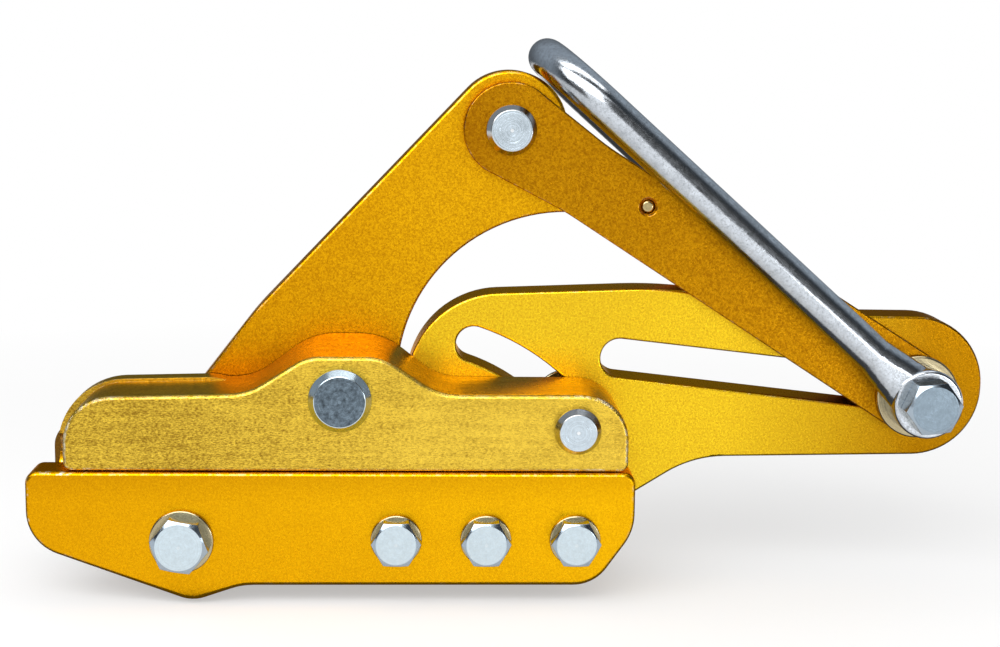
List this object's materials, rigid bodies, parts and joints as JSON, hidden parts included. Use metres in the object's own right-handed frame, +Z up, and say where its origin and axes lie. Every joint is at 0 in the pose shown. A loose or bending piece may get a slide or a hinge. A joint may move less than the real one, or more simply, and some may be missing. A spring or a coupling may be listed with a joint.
{
  "type": "self-gripping conductor clamp",
  "caption": "Self-gripping conductor clamp with parallel grooved jaws, a lever, twin pull links and a folding steel pull bow.",
  "frame": {"origin": "on the axis of the gripped conductor, below the jaw pin", "axes": "+X along the conductor to the pulling end, +Y to the back, +Z up"},
  "size_m": [0.407, 0.1217, 0.2337],
  "materials": {
    "gold_plate": "orange-gold anodised, fine blasted grain",
    "link_plate": "gold anodised, slightly darker, fine grain",
    "jaw_casting": "yellow-gold, coarse streaky forged skin with worn edges",
    "pin_steel": "dark turned steel",
    "zinc_steel": "bright zinc plating",
    "bow_chrome": "bright chrome"
  },
  "bodies": {
    "frame": {"lower_jaw": "gold_plate", "rear_cheek": "gold_plate", "tail_plate": "gold_plate", "fulcrum_bolt": "zinc_steel", "fulcrum_washer_front": "zinc_steel", "fulcrum_washer_rear": "zinc_steel", "fulcrum_nut": "zinc_steel", "plate_1_bolt": "zinc_steel", "plate_1_washer_front": "zinc_steel", "plate_1_washer_rear": "zinc_steel", "plate_1_nut": "zinc_steel", "plate_2_bolt": "zinc_steel", "plate_2_washer_front": "zinc_steel", "plate_2_washer_rear": "zinc_steel", "plate_2_nut": "zinc_steel", "plate_3_bolt": "zinc_steel", "plate_3_washer_front": "zinc_steel", "plate_3_washer_rear": "zinc_steel", "plate_3_nut": "zinc_steel"},
    "lever": {"lever": "gold_plate", "top_pin": "pin_steel", "top_pin_washer": "zinc_steel", "top_pin_clip": "zinc_steel"},
    "upper_jaw": {"upper_jaw": "jaw_casting", "jaw_pin": "pin_steel", "jaw_pin_washer": "zinc_steel", "jaw_pin_clip": "zinc_steel", "guide_pin": "pin_steel", "guide_pin_washer": "zinc_steel", "guide_pin_clip": "zinc_steel"},
    "links": {"front_link": "link_plate", "rear_link": "link_plate", "link_spacer_pin": "pin_steel"},
    "pull_bolt": {"pull_bolt": "zinc_steel", "pull_bolt_washer": "zinc_steel", "pull_bolt_nut": "zinc_steel"},
    "eye_washers": {"bow_washer_front": "zinc_steel", "bow_washer_rear": "zinc_steel"},
    "bow": {"bow": "bow_chrome"}
  },
  "joints": [
    {"name": "lever_swing", "type": "hinge", "parent": "frame", "child": "lever", "pos_m": [-0.0652, 0.0245, -0.029], "axis": [0, -1, 0], "range_deg": [0, 28]},
    {"name": "jaw_level", "type": "hinge", "parent": "lever", "child": "upper_jaw", "pos_m": [0, -0.0073, 0.0308], "axis": [0, -1, 0], "range_deg": [-27, 0.5]},
    {"name": "link_swing", "type": "hinge", "parent": "lever", "child": "links", "pos_m": [0.0702, 0.0245, 0.1395], "axis": [0, -1, 0], "range_deg": [-40.5, 0.5]},
    {"name": "pull_slide", "type": "slide", "parent": "frame", "child": "pull_bolt", "axis": [-0.9938, 0, 0.1109], "range_m": [0, 0.1206]},
    {"name": "washer_turn", "type": "hinge", "parent": "pull_bolt", "child": "eye_washers", "pos_m": [0.2473, 0.0245, 0.02675], "axis": [0, -1, 0], "range_deg": [-16.5, 0.5]},
    {"name": "bow_swing", "type": "hinge", "parent": "eye_washers", "child": "bow", "pos_m": [0.2473, 0.0245, 0.02675], "axis": [0, 1, 0], "range_deg": [0, 195]}
  ],
  "couplings": [
    {"joint": "jaw_level", "follows": "lever_swing", "ratio": -0.95},
    {"joint": "link_swing", "follows": "lever_swing", "ratio": -1.424},
    {"joint": "pull_slide", "follows": "lever_swing", "m_per_rad": 0.2459},
    {"joint": "washer_turn", "follows": "lever_swing", "ratio": -0.56}
  ]
}
